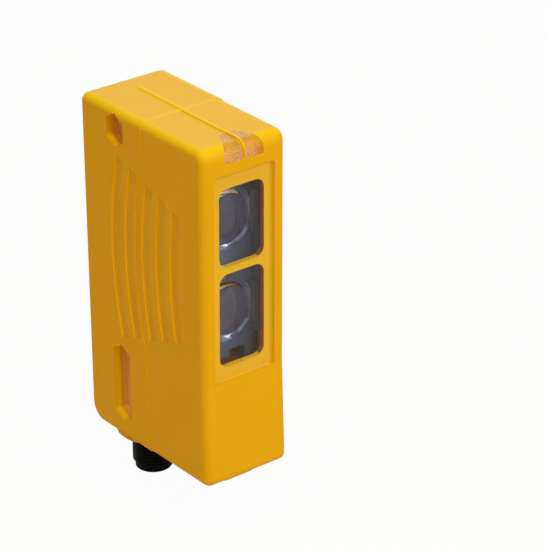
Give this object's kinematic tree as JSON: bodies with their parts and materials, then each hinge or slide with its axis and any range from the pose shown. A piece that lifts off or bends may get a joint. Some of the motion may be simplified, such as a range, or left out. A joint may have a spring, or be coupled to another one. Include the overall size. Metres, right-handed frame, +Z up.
{
  "type": "safety through-beam sensor",
  "caption": "Upright two-shell housing with two lenses behind one front window, an indicator window on the top edge, side fixing holes with nut pockets and a round plug connector below.",
  "frame": {"origin": "on the housing's middle plane, level with its underside, below the middle of its depth", "axes": "+Z up along the housing's height, the lenses look along -Y, X across the width"},
  "size_m": [0.028, 0.0555, 0.1166],
  "materials": {
    "yellow_shell": "fine moulded satin, safety yellow",
    "clear_pane": "clear moulded plastic",
    "clear_prism": "clear plastic with a fine prism texture inside",
    "lens_plastic": "clear polished plastic",
    "dark_plastic": "matte slate grey",
    "black_plastic": "matte black",
    "seal_rubber": "matte",
    "circuit_board": "green solder mask",
    "chip_black": "moulded, matte",
    "lamp_plastic": "milky",
    "capacitor_can": "satin",
    "pin_metal": "gold-plated"
  },
  "bodies": {
    "root": {"rear_housing": "yellow_shell", "front_housing": "yellow_shell", "front_window": "clear_pane", "indicator_window": "clear_prism", "lens_carrier": "dark_plastic", "lower_lens": "lens_plastic", "upper_lens": "lens_plastic", "optics_chassis": "dark_plastic", "optics_board": "circuit_board", "photo_elements": "chip_black", "indicator_board": "circuit_board", "indicator_leds": "lamp_plastic", "signal_board": "circuit_board", "signal_controllers": "chip_black", "front_header": "black_plastic", "rear_header": "black_plastic", "output_board": "circuit_board", "output_switches": "chip_black", "supply_capacitor": "capacitor_can", "connector_body": "black_plastic", "connector_insert": "black_plastic", "connector_pins": "pin_metal", "connector_seal": "seal_rubber", "connector_board": "circuit_board"}
  },
  "joints": []
}
